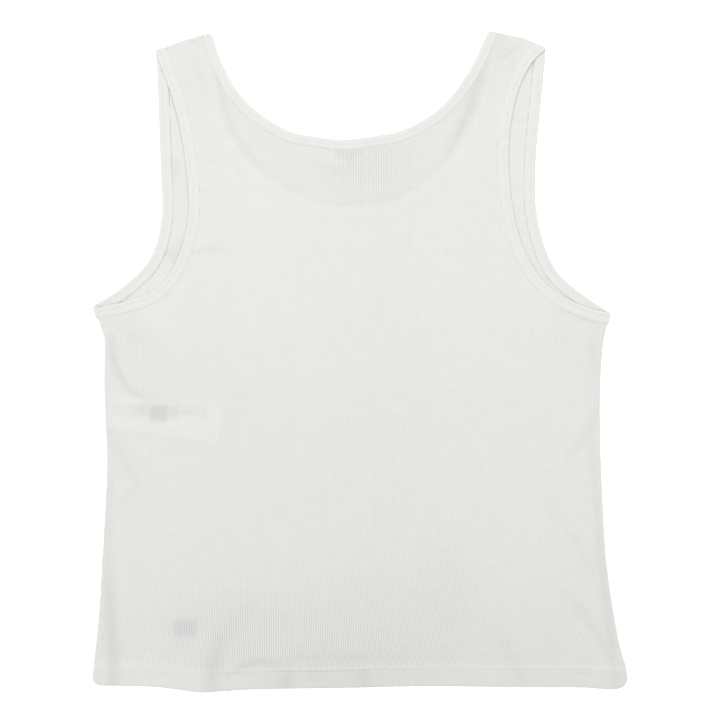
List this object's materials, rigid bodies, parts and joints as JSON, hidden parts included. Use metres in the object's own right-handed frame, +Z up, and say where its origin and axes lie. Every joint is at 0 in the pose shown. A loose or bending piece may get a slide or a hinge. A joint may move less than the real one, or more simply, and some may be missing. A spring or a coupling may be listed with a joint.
{
  "type": "tank top",
  "caption": "Sleeveless fine-rib cotton tank top laid flat, seen from the back, with a scooped neck, bound neck and armholes, and a turned-up hem.",
  "frame": {"origin": "on the table, at the centre of the garment's outline", "axes": "+Y from the hem to the shoulders, +X to the viewer's right as the back is seen, which is the wearer's right, and +Z up from the table"},
  "size_m": [0.476, 0.5887, 0.0052],
  "materials": {
    "rib_knit": "matt fine rib cotton knit, ivory white, slightly sheer",
    "rib_tape": "matt rib cotton tape, ivory white",
    "label_tape": "smooth white woven label tape"
  },
  "bodies": {
    "root": {"front_panel": "rib_knit", "back_panel": "rib_knit", "neck_binding": "rib_tape", "armhole_binding_left": "rib_tape", "armhole_binding_right": "rib_tape", "neck_label": "label_tape", "care_label": "label_tape"}
  },
  "joints": []
}
